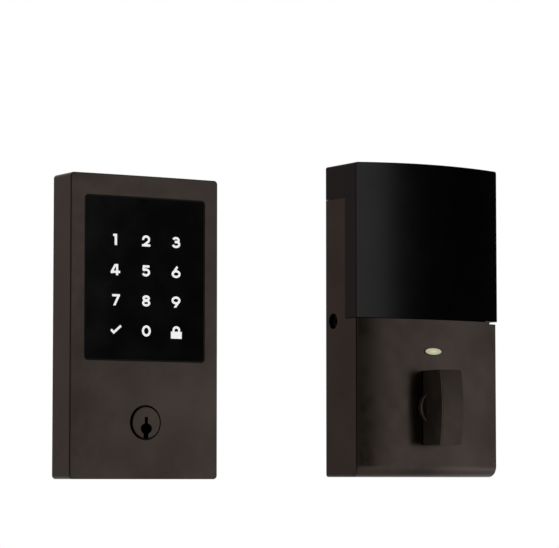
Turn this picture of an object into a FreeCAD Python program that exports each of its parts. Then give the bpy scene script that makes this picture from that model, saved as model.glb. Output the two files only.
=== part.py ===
"""Keypad smart lock: the exterior keypad unit and the interior motor unit, side by side.

Millimetres, +Z up. The origin is on the door face, on the axis of the exterior key
cylinder. Both units lie against the plane Y = 0 (the door face) and face -Y.
"""
import FreeCAD
import Part

import math
import os

V = FreeCAD.Vector
X_AXIS = V(1, 0, 0)
Y_AXIS = V(0, 1, 0)
Z_AXIS = V(0, 0, 1)

# ---- exterior unit -----------------------------------------------------------------
EXT_HALF_W = 35.5
EXT_BOTTOM = -23.9
EXT_TOP = 105.1
EXT_REAR = -0.8
EXT_APEX = -17.8          # foremost line of the crowned front
EXT_CROWN_R = 788.0
EXT_WALL = 2.2
EXT_FRONT = 2.6
EXT_CORNER = 1.6
EXT_EDGE = 0.5

GLASS_Z = 60.95           # centre height of the touch window
WINDOW_HALF_W = 29.1
WINDOW_HALF_H = 35.05
WINDOW_CORNER = 1.7
GLASS_INSET = 0.7         # width of the rubber rim round the glass
GLASS_SUNK = 0.1
GLASS_T = 1.5
RECESS_DEPTH = 1.9
THROUGH_INSET = 1.8
LEGEND_T = 0.1
COIL_NECK = 0.4           # half thickness between a spring's turns, against its wire's radius

KEY_COLUMNS = (-14.6, 0.0, 14.6)
KEY_ROW_TOP = 77.3
KEY_ROW_PITCH = 12.8
STROKE = 0.49             # half the width of a legend's stroke
DIGIT_HALF_H = 2.38

DIFFUSER_Y = (-15.4, -14.2)
TOUCH_BOARD_Y = (-13.6, -12.4)
TOUCH_BOARD_HALF_W = 31.8
TOUCH_BOARD_HALF_H = 37.0
TOUCH_SCREW_X = 30.4
TOUCH_SCREW_DZ = 35.0

BACK_PLATE_Y = (-2.4, -1.2)
PLATE_SCREW_X = 30.6
PLATE_SCREW_Z = (-19.2, 100.4)
POST_SPACING = 28.0
POST_R = 3.0
POST_LENGTH = 26.0        # reach of the posts behind the door face

# ---- key cylinder ------------------------------------------------------------------
HEAD_R = 6.65
HEAD_Y = (-18.6, -15.4)
CYLINDER_HOLE_R = 7.45
PLUG_R = 6.3
PLUG_FIT = 0.05
PLUG_END = 9.8
SHELL_R = 9.5
SHELL_END = 8.0
PIN_R = 1.4
PIN_HOLE_R = 1.45
PIN_COUNT = 5
PIN_PITCH = 3.8
PIN_FIRST = -11.0
PIN_TOP = 6.1             # flat tops of the key pins, just inside the plug's surface
DRIVER_BOTTOM = 6.4
DRIVER_TOP = 10.4
CHAMBER_TOP = 14.8
KEY_PIN_LENGTHS = (3.4, 2.6, 3.8, 2.9, 3.2)
BLADE_HALF = (1.1, 3.2)
BLADE_START = 6.0
BLADE_END = 54.0

# ---- interior unit, drawn about its own centre line and bottom edge ----------------
INT_X = 139.0
INT_Z = -22.9
HALF_W = 37.8
APEX = -30.5
CROWN_R = 161.0
REAR = -0.6
WALL = 2.2
SPLIT = 70.5              # lower edge of the battery cover
SEAM = 0.3
CAP_GAP = 0.1             # between the cap and the ledge it sits on
CAP = 124.5               # lower edge of the cover's full-depth top cap
TOP = 140.0
COVER_HALF_W = 38.2
COVER_T = 1.6
COVER_PROUD = 0.4
COVER_EDGE = 0.4
COVER_SHOULDER = 1.0
RETURN_Y = -17.1          # rear edge of the cover's side returns
BOTTOM_ROLL = 5.0         # radius of the front's lower edge
FOOT_CORNER = 1.2
DECK_Y = (-11.0, -9.4)
NECK_HALF_W = 35.9
NECK_TOP = 137.2

SIDE_SCREW_Y = -6.6
SIDE_SCREW_Z = 69.6
SIDE_HOLE_R = 3.5

CELL_R = 7.15
CELL_L = 50.5
CELL_PITCH = 15.2
CELL_OFFSET = -1.5
CELL_Y = -19.1
HOLDER_Z = (72.0, 133.0)
HOLDER_WALL = 1.6
CONTACT_T = 0.4
CELL_NUB = 1.2
CELL_NUB_R = 2.7

BOARD_Y = (-5.2, -3.6)
BUTTON_X = 33.0
BUTTON_Z = (87.0, 97.0)
LED_Z = 56.0
LENS_HALF = (4.3, 1.5)     # half width and half height of the oval lens
BEZEL_HALF = (4.85, 2.05)
CABLE_X = (-15.0, -4.0)   # entry for the cable from the exterior unit
CABLE_Z = (41.0, 53.0)

# ---- turn piece, spindle and gear train --------------------------------------------
AXIS_Z = 30.7
TURN_W = 11.6
TURN_H = 33.3
TURN_Y = (-46.1, -30.9)
TURN_BOW = 1.8            # how far the middle of the front face stands out from its ends
COLLAR_R = 8.4
COLLAR_H = 2.5
BUSH_R = 6.3
BUSH_Y = (-30.6, -29.9)   # flange of the bush, let into the housing
TURN_SHAFT_R = 4.0
JOURNAL_R = 6.0
RUNNING_FIT = 0.06
PRESSURE_ANGLE = math.radians(25.0)
ADDENDUM = 0.95
DEDENDUM = 1.2
BACKLASH = 0.09
PINION_TEETH = 12
WHEEL_TEETH = 36
HUB_TEETH = 42
MODULE_MOTOR = 0.5
MODULE_MIDDLE = 0.6
MODULE_HUB = 0.8
HUB_TO_WHEEL2 = math.radians(-20.0)
WHEEL2_TO_WHEEL1 = math.radians(80.0)
WHEEL1_TO_MOTOR = math.radians(95.0)
LAYER_MOTOR = (-6.0, -3.6)
LAYER_MIDDLE = (-9.8, -7.2)
LAYER_HUB = (-14.8, -11.0)
GEAR_BASE_Y = (-3.2, -2.0)
GEAR_COVER_Y = (-17.0, -15.6)
AXLE_R = 1.0
AXLE_FIT = 0.05
AXLE_Y = (-16.4, -2.4)
MOTOR_R = 6.2
MOTOR_Y = (-22.0, -7.2)
GEARBOX_POSTS = ((-17.5, 12.0), (-17.5, 52.0), (31.0, 12.0), (31.4, 54.8))
GEARBOX_OUTLINE = (-21.5, 34.4, 8.5, 58.0)


# ---- basic solids ------------------------------------------------------------------
def box(x0, x1, y0, y1, z0, z1):
    return Part.makeBox(x1 - x0, y1 - y0, z1 - z0, V(x0, y0, z0))


def rod(radius, y0, y1, x=0.0, z=0.0):
    """Cylinder along Y."""
    return Part.makeCylinder(radius, y1 - y0, V(x, y0, z), Y_AXIS)


def rod_x(radius, x0, x1, y, z):
    return Part.makeCylinder(radius, x1 - x0, V(x0, y, z), X_AXIS)


def rod_z(radius, z0, z1, x, y):
    return Part.makeCylinder(radius, z1 - z0, V(x, y, z0), Z_AXIS)


def tube(outer, inner, y0, y1, x=0.0, z=0.0):
    return rod(outer, y0, y1, x, z).cut(rod(inner, y0, y1, x, z))


def fuse(shapes):
    first, rest = shapes[0], list(shapes[1:])
    if not rest:
        return first
    return first.fuse(rest).removeSplitter()


def cut(shape, tools):
    return shape.cut(list(tools))


def mirrored_x(shape):
    return shape.mirror(V(0, 0, 0), X_AXIS)


def slab(x0, x1, z0, z1, y0, y1, radius=0.0):
    """Plate in the XZ plane with rounded corners."""
    plate = box(x0, x1, y0, y1, z0, z1)
    if radius <= 0.0:
        return plate
    corners = [e for e in plate.Edges if is_along(e, Y_AXIS)]
    return plate.makeFillet(radius, corners)


def oval(half, y0, y1, z=0.0):
    """Elliptical disc in the XZ plane."""
    wire = Part.Wire(Part.Ellipse(V(0, 0, 0), half[0], half[1]).toShape())
    disc = Part.Face(wire).extrude(V(0, 0, y1 - y0))
    disc.rotate(V(0, 0, 0), X_AXIS, 90)
    disc.translate(V(0, y1, z))
    return disc


def is_along(edge, axis):
    first, last = edge.Vertexes[0].Point, edge.Vertexes[-1].Point
    span = last.sub(first)
    return span.Length > 0 and abs(abs(span.dot(axis)) - span.Length) < 1e-6


def crowned(x0, x1, z0, z1, y_rear, apex, crown_r, corner=0.0):
    """Plate whose front is part of an upright cylinder; apex is its foremost line."""
    plate = slab(x0, x1, z0, z1, apex - 1.0, y_rear, corner)
    crown = rod_z(crown_r, z0 - 1.0, z1 + 1.0, 0.0, apex + crown_r)
    return plate.common(crown)


def ext_crowned(half_w, z0, z1, y_rear, depth, corner=0.0):
    """Crowned plate that follows the exterior front, depth below its surface."""
    return crowned(-half_w, half_w, z0, z1, y_rear, EXT_APEX + depth, EXT_CROWN_R - depth, corner)


def int_crowned(half_w, z0, z1, y_rear, depth, corner=0.0):
    return crowned(-half_w, half_w, z0, z1, y_rear, APEX + depth, CROWN_R - depth, corner)


def front_edges(shape, y_limit):
    """Edges that lie wholly in front of y_limit."""
    return [e for e in shape.Edges if e.BoundBox.YMax < y_limit]


def crown_depth(radius, x):
    return radius - math.sqrt(radius * radius - x * x)


def coil(radius, wire_r, turns, height):
    """Close-wound spring as a ribbed sleeve, one rib per turn, standing on the origin."""
    pitch = height / turns
    neck = COIL_NECK * wire_r
    outer = [(radius + neck, 0.0)]
    inner = [(radius - neck, 0.0)]
    for i in range(turns):
        middle = pitch * (i + 0.5)
        outer += [(radius + wire_r, middle), (radius + neck, pitch * (i + 1))]
        inner += [(radius - wire_r, middle), (radius - neck, pitch * (i + 1))]
    points = [V(r, 0, z) for r, z in outer + inner[::-1]]
    face = Part.Face(Part.makePolygon(points + points[:1]))
    return face.revolve(V(0, 0, 0), Z_AXIS, 360)


# ---- legends -----------------------------------------------------------------------
def bow(cx, cz, rx, rz, start, end):
    """Points along part of an ellipse, from start to end degrees."""
    steps = max(2, round(abs(end - start) / 12))
    angles = [math.radians(start + (end - start) * i / steps) for i in range(steps + 1)]
    return [(cx + rx * math.cos(a), cz + rz * math.sin(a)) for a in angles]


def beside(before, point, after, side):
    """Mitred point beside a corner of a polyline, half a stroke away from both its sides."""
    first = math.atan2(point[1] - before[1], point[0] - before[0])
    last = math.atan2(after[1] - point[1], after[0] - point[0])
    turn = (last - first + math.pi) % (2 * math.pi) - math.pi
    reach = side * STROKE / math.cos(turn / 2)
    normal = first + turn / 2 + math.pi / 2
    return point[0] + reach * math.cos(normal), point[1] + reach * math.sin(normal)


def flat(points):
    """Polygon in the XZ plane, one unit deep along Y."""
    corners = [V(x, 0, z) for x, z in points]
    return Part.Face(Part.makePolygon(corners + corners[:1])).extrude(Y_AXIS)


def beyond(point, neighbour):
    """Mirror image of a polyline's neighbouring point about its end point."""
    return 2 * point[0] - neighbour[0], 2 * point[1] - neighbour[1]


def ribbon(points):
    """Stroke of even width along a polyline, with mitred corners and square ends."""
    path = [beyond(points[0], points[1])] + list(points) + [beyond(points[-1], points[-2])]
    corners = list(zip(path, path[1:], path[2:]))
    right = [beside(before, point, after, -1) for before, point, after in corners]
    left = [beside(before, point, after, 1) for before, point, after in corners]
    return flat(right + left[::-1])


def loop(cx, cz, rx, rz):
    """Closed oval stroke."""
    outer = flat(bow(cx, cz, rx + STROKE, rz + STROKE, 0, 348))
    return outer.cut(flat(bow(cx, cz, rx - STROKE, rz - STROKE, 0, 348)))


def glyphs():
    """Legends as half width, half height and strokes about their own centres."""
    tall = DIGIT_HALF_H
    line = tall - STROKE
    one = flat([(-1.1, tall), (0.7, tall), (0.7, -tall), (-0.4, -tall), (-0.4, 1.3), (-1.1, 1.45)])
    shackle = [(-1.05, -0.1)] + bow(0.3, 0.85, 1.35, 1.1, 180, 0) + [(1.65, -0.1)]
    return {
        "1": (2.0, tall, [one]),
        "2": (2.0, tall, [ribbon(bow(0.0, 0.6, 1.42, line - 0.6, 190, -42) + [(-2.2, -2.8)]),
                          ribbon([(-1.95, -line), (2.0, -line)])]),
        "3": (2.2, tall, [ribbon(bow(0.0, 1.0, 1.3, line - 1.0, 165, -90)),
                          ribbon([(-0.6, 0.19), (0.2, 0.17)]),
                          ribbon(bow(0.0, -0.77, 1.62, line - 0.77, 97, -162))]),
        "4": (2.2, tall, [ribbon([(0.8, 3.0), (0.8, -3.0)]), ribbon([(0.36, 2.6), (-2.1, -1.5)]),
                          ribbon([(-2.1, -0.95), (2.2, -0.95)])]),
        "5": (2.0, tall, [ribbon([(-1.5, line), (1.65, line)]), ribbon([(-1.05, 2.3), (-1.2, 0.1)]),
                          ribbon(bow(-0.05, -0.66, 1.5, line - 0.66, 142, -158))]),
        "6": (2.4, 2.6, [loop(0.1, -0.78, 1.7, line - 0.68), ribbon([(-1.4, -0.45), (0.75, 2.4)])]),
        "7": (2.15, tall, [ribbon([(-1.45, line), (2.15, line)]), ribbon([(2.0, 2.6), (-0.55, -2.6)])]),
        "8": (2.2, tall, [loop(0.15, 1.1, 1.28, line - 1.1), loop(0.15, -0.92, 1.46, line - 0.92)]),
        "9": (2.4, tall, [loop(0.1, 0.68, 1.7, line - 0.68), ribbon([(1.6, 0.35), (-0.6, -2.6)])]),
        "enter": (3.2, 3.0, [ribbon([(-1.95, 0.15), (-0.65, -1.05), (2.75, 1.85)])]),
        "0": (2.4, tall, [loop(0.28, 0.0, 1.62, line)]),
        "lock": (3.2, 3.2, [box(-2.35, 2.95, 0, 1, -2.9, 0.1), ribbon(shackle)]),
    }


def legends():
    """Printed legends, a thin skin on the front of the glass."""
    z0, z1 = GLASS_Z - 34.0, GLASS_Z + 34.0
    skin = ext_crowned(WINDOW_HALF_W - 2.0, z0, z1, EXT_APEX + 3.0, GLASS_SUNK - LEGEND_T)
    skin = skin.cut(ext_crowned(WINDOW_HALF_W, z0 - 1.0, z1 + 1.0, EXT_APEX + 4.0, GLASS_SUNK))
    solids = []
    for index, (half_w, half_h, strokes) in enumerate(glyphs().values()):
        sign = fuse(strokes).common(box(-half_w, half_w, 0, 1, -half_h, half_h))
        sign.translate(V(KEY_COLUMNS[index % 3], 0, KEY_ROW_TOP - KEY_ROW_PITCH * (index // 3)))
        sign.translate(V(0, EXT_APEX - 0.2, 0))
        solids += sign.common(skin).Solids
    return Part.makeCompound(solids)


# ---- exterior unit -----------------------------------------------------------------
def window(inset, depth, y_rear):
    return ext_crowned(
        WINDOW_HALF_W - inset,
        GLASS_Z - WINDOW_HALF_H + inset,
        GLASS_Z + WINDOW_HALF_H - inset,
        y_rear,
        depth,
        max(WINDOW_CORNER - inset, 0.6),
    )


def corner_points(xs, zs):
    return [(x, z) for x in (-xs, xs) for z in zs]


def touch_screw_points():
    return corner_points(TOUCH_SCREW_X, (GLASS_Z - TOUCH_SCREW_DZ, GLASS_Z + TOUCH_SCREW_DZ))


def escutcheon():
    body = ext_crowned(EXT_HALF_W, EXT_BOTTOM, EXT_TOP, EXT_REAR, 0.0, EXT_CORNER)
    rim = front_edges(body, EXT_APEX + 3.0)
    body = body.makeFillet(EXT_EDGE, rim)
    cavity = ext_crowned(EXT_HALF_W - EXT_WALL, EXT_BOTTOM + EXT_WALL, EXT_TOP - EXT_WALL, 1.0, EXT_FRONT)
    bosses = []
    pilots = []
    for x, z in corner_points(PLATE_SCREW_X, PLATE_SCREW_Z):
        bosses.append(rod(2.4, -15.0, BACK_PLATE_Y[0], x, z))
        pilots.append(rod(1.1, -9.0, 0.0, x, z))
    for x, z in touch_screw_points():
        bosses.append(rod(2.0, -15.6, TOUCH_BOARD_Y[0], x, z))
        pilots.append(rod(0.9, -15.4, 0.0, x, z))
    body = fuse([body.cut(cavity)] + bosses)
    recess = window(0.0, -0.5, EXT_APEX + RECESS_DEPTH)
    recess = recess.fuse(window(0.0, -0.5, EXT_APEX + 8.0).cut(window(-1.0, RECESS_DEPTH, EXT_APEX + 9.0)))
    through = window(THROUGH_INSET, -0.5, EXT_APEX + 5.0)
    hole = rod(CYLINDER_HOLE_R, EXT_APEX - 1.0, EXT_APEX + 5.0)
    return cut(body, [recess, through, hole] + pilots)


def glass_gasket():
    rim = window(0.0, 0.15, EXT_APEX + 5.0)
    rim = rim.cut(window(-1.0, RECESS_DEPTH, EXT_APEX + 6.0))
    seat = window(GLASS_INSET, -0.5, EXT_APEX + 5.0)
    seat = seat.cut(window(-1.0, GLASS_SUNK + GLASS_T, EXT_APEX + 6.0))
    return cut(rim, [seat, window(THROUGH_INSET, -0.5, EXT_APEX + 6.0)])


def touch_glass():
    pane = window(GLASS_INSET, GLASS_SUNK, EXT_APEX + 5.0)
    return pane.cut(window(-1.0, GLASS_SUNK + GLASS_T, EXT_APEX + 6.0))


def light_diffuser():
    return slab(-26.8, 26.8, GLASS_Z - 32.6, GLASS_Z + 32.6, DIFFUSER_Y[0], DIFFUSER_Y[1], 1.0)


def touch_board():
    board = slab(
        -TOUCH_BOARD_HALF_W,
        TOUCH_BOARD_HALF_W,
        GLASS_Z - TOUCH_BOARD_HALF_H,
        GLASS_Z + TOUCH_BOARD_HALF_H,
        TOUCH_BOARD_Y[0],
        TOUCH_BOARD_Y[1],
        1.0,
    )
    return cut(board, [rod(0.9, -14.0, -12.0, x, z) for x, z in touch_screw_points()])


def touch_board_screws():
    screws = []
    for x, z in touch_screw_points():
        head = rod(1.7, TOUCH_BOARD_Y[1], TOUCH_BOARD_Y[1] + 1.2, x, z)
        head = head.cut(box(x - 1.3, x + 1.3, -11.6, -11.0, z - 0.25, z + 0.25))
        screws.append(fuse([head, rod(0.9, -15.4, TOUCH_BOARD_Y[1], x, z)]))
    return Part.makeCompound(screws)


def backlight_leds():
    chips = []
    for row in range(4):
        for x in KEY_COLUMNS:
            z = KEY_ROW_TOP - KEY_ROW_PITCH * row
            chips.append(box(x - 0.8, x + 0.8, -14.1, TOUCH_BOARD_Y[0], z - 0.4, z + 0.4))
    return Part.makeCompound(chips)


def touch_controller():
    rear = TOUCH_BOARD_Y[1]
    return box(-4.0, 4.0, rear, rear + 1.0, 56.0, 64.0)


def beeper():
    rear = TOUCH_BOARD_Y[1]
    can = rod(6.0, rear, rear + 3.6, 17.0, 82.0)
    return can.cut(rod(0.9, rear + 2.6, rear + 4.0, 17.0, 82.0))


def ext_back_plate():
    y0, y1 = BACK_PLATE_Y
    plate = slab(-33.1, 33.1, EXT_BOTTOM + 2.4, EXT_TOP - 2.4, y0, y1, 0.8)
    holes = [rod(10.0, -3.0, 0.0), box(-4.6, 4.6, -3.0, 0.0, 0.0, 16.6)]
    holes.append(box(-5.5, 5.5, -3.0, 0.0, -18.5, -13.0))
    for x, z in corner_points(PLATE_SCREW_X, PLATE_SCREW_Z):
        holes.append(rod(1.1, -3.0, 0.0, x, z))
    for side in (-1, 1):
        holes.append(rod(POST_R - 0.8, -3.0, 0.0, side * POST_SPACING / 2, 0.0))
    return cut(plate, holes)


def plate_screws():
    y1 = BACK_PLATE_Y[1]
    screws = []
    for x, z in corner_points(PLATE_SCREW_X, PLATE_SCREW_Z):
        head = rod(2.2, y1, y1 + 1.0, x, z)
        head = cut(head, [
            box(x - 1.6, x + 1.6, y1 + 0.5, y1 + 1.1, z - 0.3, z + 0.3),
            box(x - 0.3, x + 0.3, y1 + 0.5, y1 + 1.1, z - 1.6, z + 1.6),
        ])
        screws.append(fuse([head, rod(1.1, -9.0, y1, x, z)]))
    return Part.makeCompound(screws)


def mounting_posts():
    """Two shouldered posts, riveted in the back plate and tapped from their far end."""
    posts = []
    for side in (-1, 1):
        x = side * POST_SPACING / 2
        post = fuse([
            rod(POST_R, BACK_PLATE_Y[1], POST_LENGTH, x, 0.0),
            rod(POST_R - 0.8, BACK_PLATE_Y[0], BACK_PLATE_Y[1], x, 0.0),
            rod(POST_R, BACK_PLATE_Y[0] - 1.0, BACK_PLATE_Y[0], x, 0.0),
        ])
        posts.append(post.cut(rod(1.75, POST_LENGTH - 20.0, POST_LENGTH + 1.0, x, 0.0)))
    return Part.makeCompound(posts)


def door_gasket():
    ring = slab(-34.9, 34.9, EXT_BOTTOM + 0.6, EXT_TOP - 0.6, EXT_REAR, 0.0, 1.2)
    inner = slab(-33.3, 33.3, EXT_BOTTOM + 2.2, EXT_TOP - 2.2, -1.0, 0.2, 0.6)
    return ring.cut(inner)


def ext_cable_socket():
    body = box(-5.5, 5.5, -7.0, 1.6, -18.5, -13.0)
    return body.cut(box(-4.5, 4.5, -4.0, 2.0, -17.5, -14.0))


# ---- key cylinder ------------------------------------------------------------------
def pin_positions():
    return [PIN_FIRST + PIN_PITCH * i for i in range(PIN_COUNT)]


def cylinder_shell():
    body = fuse([rod(SHELL_R, -15.1, SHELL_END), box(-4.0, 4.0, -15.0, SHELL_END, 6.0, 16.0)])
    tools = [rod(PLUG_R + PLUG_FIT, -17.0, SHELL_END + 1.0)]
    for y in pin_positions():
        tools.append(rod_z(PIN_HOLE_R, 5.0, CHAMBER_TOP + 0.1, 0.0, y))
    tools.append(box(-2.4, 2.4, -13.6, 6.8, CHAMBER_TOP, 15.6))
    return cut(body, tools)


def pin_chamber_cover():
    return box(-2.4, 2.4, -13.6, 6.8, CHAMBER_TOP, 15.6)


def keyway_profile(y0, y1):
    """Keyway: a narrow upper slit, a wide rounded middle and a narrower foot."""
    ward = [
        (-0.75, 2.4), (0.75, 2.4), (0.75, -0.3), (1.6, -0.7), (2.4, -1.4), (2.75, -2.5),
        (2.4, -3.6), (1.7, -4.3), (1.0, -4.7), (1.0, -8.0), (-1.35, -8.0), (-1.35, -4.7),
        (-2.0, -4.2), (-2.5, -3.4), (-2.75, -2.5), (-2.4, -1.4), (-1.6, -0.7), (-0.75, -0.3),
    ]
    points = [V(x, y0, z) for x, z in ward]
    face = Part.Face(Part.makePolygon(points + points[:1]))
    return face.extrude(V(0, y1 - y0, 0))


def key_plug():
    body = fuse([rod(HEAD_R, HEAD_Y[0], HEAD_Y[1]), rod(PLUG_R, HEAD_Y[1], PLUG_END)])
    rim = [e for e in body.Edges if e.BoundBox.YMax < HEAD_Y[0] + 0.01]
    body = body.makeFillet(0.3, rim)
    tools = [
        keyway_profile(HEAD_Y[0] - 1.0, 5.0),
        box(-BLADE_HALF[0], BLADE_HALF[0], BLADE_START, PLUG_END + 1.0, -BLADE_HALF[1], BLADE_HALF[1]),
        tube(PLUG_R + 1.0, PLUG_R - 0.7, 8.35, 9.05),
    ]
    for y in pin_positions():
        tools.append(rod_z(PIN_R, 1.6, PLUG_R + 1.0, 0.0, y))
    return cut(body, tools)


def key_pins():
    pins = []
    for y, length in zip(pin_positions(), KEY_PIN_LENGTHS):
        shank = rod_z(PIN_R, PIN_TOP - length + 0.6, PIN_TOP, 0.0, y)
        point = Part.makeCone(0.7, PIN_R, 0.6, V(0, y, PIN_TOP - length), Z_AXIS)
        pins.append(fuse([shank, point]))
    return Part.makeCompound(pins)


def driver_pins():
    return Part.makeCompound([rod_z(PIN_R, DRIVER_BOTTOM, DRIVER_TOP, 0.0, y) for y in pin_positions()])


def pin_springs():
    springs = []
    for y in pin_positions():
        spring = coil(1.0, 0.25, 8, CHAMBER_TOP - DRIVER_TOP)
        spring.translate(V(0, y, DRIVER_TOP))
        springs += spring.Solids
    return Part.makeCompound(springs)


def plug_clip():
    ring = tube(8.1, PLUG_R - 0.7, 8.35, 9.05)
    return ring.cut(box(-2.6, 2.6, 8.0, 9.5, -9.0, -3.0))


def torque_blade():
    bx, bz = BLADE_HALF
    blade = box(-bx, bx, BLADE_START, BLADE_END, -bz, bz)
    tip = [e for e in blade.Edges if e.BoundBox.YMin > BLADE_END - 0.01]
    return blade.makeChamfer(0.5, tip)


# ---- interior unit: casing ---------------------------------------------------------
def side_screw_axis(radius, x0, x1):
    return rod_x(radius, x0, x1, SIDE_SCREW_Y, SIDE_SCREW_Z)


def housing():
    seam_z = SPLIT - SEAM
    lower = rolled_foot(int_crowned(HALF_W, 0.0, seam_z, REAR, 0.0))
    inner = int_crowned(HALF_W - WALL, WALL, seam_z - WALL, 1.0, WALL)
    inner = inner.makeFillet(BOTTOM_ROLL - WALL, foot_edges(inner, WALL))
    passage = box(WALL - HALF_W, HALF_W - WALL, DECK_Y[1], 1.0, SPLIT - 6.0, SPLIT + 4.0)
    shell = cut(lower, [inner, passage])
    top = CAP - CAP_GAP
    walls = box(HALF_W - WALL, HALF_W, RETURN_Y + SEAM, REAR, SPLIT - 3.0, top)
    neck = box(NECK_HALF_W - 1.6, NECK_HALF_W, RETURN_Y + SEAM, -0.9, top - 1.6, NECK_TOP)
    ledge = box(NECK_HALF_W - 1.6, HALF_W, RETURN_Y + SEAM, REAR, top - 1.6, top)
    boss = side_screw_axis(5.0, 33.4, HALF_W - WALL + 0.1)
    side = fuse([walls, neck, ledge, boss])
    inside = NECK_HALF_W - 1.6
    deck = box(-HALF_W + WALL, HALF_W - WALL, DECK_Y[0], DECK_Y[1], SPLIT - 3.0, top)
    deck_top = box(-inside, inside, DECK_Y[0], DECK_Y[1], top - 1.0, NECK_TOP - 1.6)
    roof = box(-NECK_HALF_W, NECK_HALF_W, RETURN_Y + SEAM, -0.9, NECK_TOP - 1.6, NECK_TOP)
    body = fuse([shell, side, mirrored_x(side), deck, deck_top, roof])
    return cut(fuse([body] + gearbox_bosses()), housing_openings())


def foot_edges(shape, floor):
    """Front edge along the foot of a crowned block."""
    return [e for e in shape.Edges if e.BoundBox.ZMax < floor + 0.01 and e.BoundBox.YMax < -20.0]


def rolled_foot(lower):
    """Roll the foot of the crowned front back towards the door and round its corners."""
    rolled = lower.makeFillet(BOTTOM_ROLL, foot_edges(lower, 0.0))
    corners = [e for e in rolled.Edges if is_along(e, Y_AXIS) and e.BoundBox.ZMax < 0.01]
    return rolled.makeFillet(FOOT_CORNER, corners)


def gearbox_bosses():
    bosses = []
    for x, z in GEARBOX_POSTS:
        front = APEX + crown_depth(CROWN_R, x) + WALL - 0.5
        bosses.append(rod(3.0, front, GEAR_COVER_Y[0], x, z))
    return bosses


def housing_openings():
    """Openings for the bush, lens, screws, buttons and the battery leads."""
    tools = [
        rod(5.5, -35.0, -25.0, 0.0, AXIS_Z),
        rod(BUSH_R + 0.3, -35.0, BUSH_Y[1], 0.0, AXIS_Z),
        oval(BEZEL_HALF, -35.0, -25.0, LED_Z),
        box(33.4, 40.0, -35.0, -17.5, SPLIT - 1.1, SPLIT),
        box(-28.0, -20.0, -12.0, -9.0, 74.0, 76.0),
    ]
    for side in (-1, 1):
        if side > 0:
            tools.append(side_screw_axis(SIDE_HOLE_R, 34.6, 40.0))
            tools.append(side_screw_axis(1.65, 30.0, 35.0))
        else:
            tools.append(side_screw_axis(SIDE_HOLE_R, -40.0, -34.6))
            tools.append(side_screw_axis(1.65, -35.0, -30.0))
    for z in BUTTON_Z:
        tools.append(rod(2.15, -12.0, -9.0, BUTTON_X, z))
    for x, z in GEARBOX_POSTS:
        tools.append(rod(1.0, -22.5, -16.0, x, z))
    for x, z in board_screw_points():
        tools.append(rod(0.9, -10.6, -9.0, x, z))
    return tools


def battery_cover():
    """Cover with thin side returns and a full-depth cap over the top of the unit."""
    half = COVER_HALF_W
    solid = crowned(-half, half, SPLIT, TOP, -1.2, APEX - COVER_PROUD, CROWN_R + COVER_PROUD)
    arch_r = 1450.0
    arch = rod(arch_r, -60.0, 10.0, 0.0, TOP - arch_r)
    solid = solid.common(arch)
    shoulders = [e for e in solid.Edges if e.BoundBox.ZMin > TOP - 3.0 and is_along(e, Y_AXIS)]
    solid = solid.makeFillet(COVER_SHOULDER, shoulders)
    rim = [e for e in solid.Edges if e.BoundBox.ZMax > SPLIT + 1.0 and e.BoundBox.YMax < -20.0]
    solid = solid.makeFillet(COVER_EDGE, rim)
    inner_half = half - COVER_T
    inner = crowned(
        -inner_half, inner_half, SPLIT - 1.0, TOP - COVER_T - 0.5, 1.0,
        APEX - COVER_PROUD + COVER_T, CROWN_R + COVER_PROUD - COVER_T,
    )
    notch = box(-60, 60, RETURN_Y, 5.0, SPLIT - 1.0, CAP)
    return cut(solid, [inner, notch])


def mounting_plate():
    plate = slab(-33.0, 33.0, 6.0, 118.0, -1.5, 0.0, 2.0)
    ear = box(31.6, 33.0, -9.2, -1.0, SIDE_SCREW_Z - 5.0, SIDE_SCREW_Z + 5.0)
    plate = fuse([plate, ear, mirrored_x(ear)])
    tools = [
        rod(8.0, -2.0, 1.0, 0.0, AXIS_Z),
        slab(CABLE_X[0], CABLE_X[1], CABLE_Z[0], CABLE_Z[1], -2.0, 1.0, 2.0),
        slab(-14.0, 14.0, 80.0, 108.0, -2.0, 1.0, 4.0),
        side_screw_axis(1.65, -35.0, 35.0),
    ]
    for side in (-1, 1):
        tools.append(rod(2.4, -2.0, 1.0, side * POST_SPACING / 2, AXIS_Z))
    return cut(plate, tools)


def side_screws():
    head = side_screw_axis(2.9, 34.6, 36.0).cut(side_screw_axis(1.3, 35.0, 36.5))
    screw = fuse([head, side_screw_axis(1.65, 30.7, 34.6)])
    return Part.makeCompound([screw, mirrored_x(screw)])


# ---- interior unit: power ----------------------------------------------------------
def cell_centres():
    return [CELL_OFFSET + CELL_PITCH * (i - 1.5) for i in range(4)]


def battery_holder():
    xs = cell_centres()
    x0, x1 = xs[0] - CELL_R - 0.3, xs[-1] + CELL_R + 0.3
    z0, z1 = HOLDER_Z
    tray = box(x0 - 1.4, x1 + 1.4, -22.5, DECK_Y[0], z0, z1)
    tray = tray.cut(box(x0, x1, -30.0, DECK_Y[0] - 0.8, z0 + HOLDER_WALL, z1 - HOLDER_WALL))
    ribs = []
    for left, right in zip(xs, xs[1:]):
        middle = (left + right) / 2
        rib = box(middle - 1.5, middle + 1.5, -16.0, DECK_Y[0] - 0.5, z0 + 12.0, z1 - 12.0)
        ribs.append(rib)
    tray = fuse([tray] + ribs)
    tools = [rod_z(CELL_R + 0.1, z0 + HOLDER_WALL, z1 - HOLDER_WALL, x, CELL_Y) for x in xs]
    tools.append(box(-60, 60, -23.0, -20.5, z0 + 14.0, z1 - 14.0))
    return cut(tray, tools)


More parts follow.
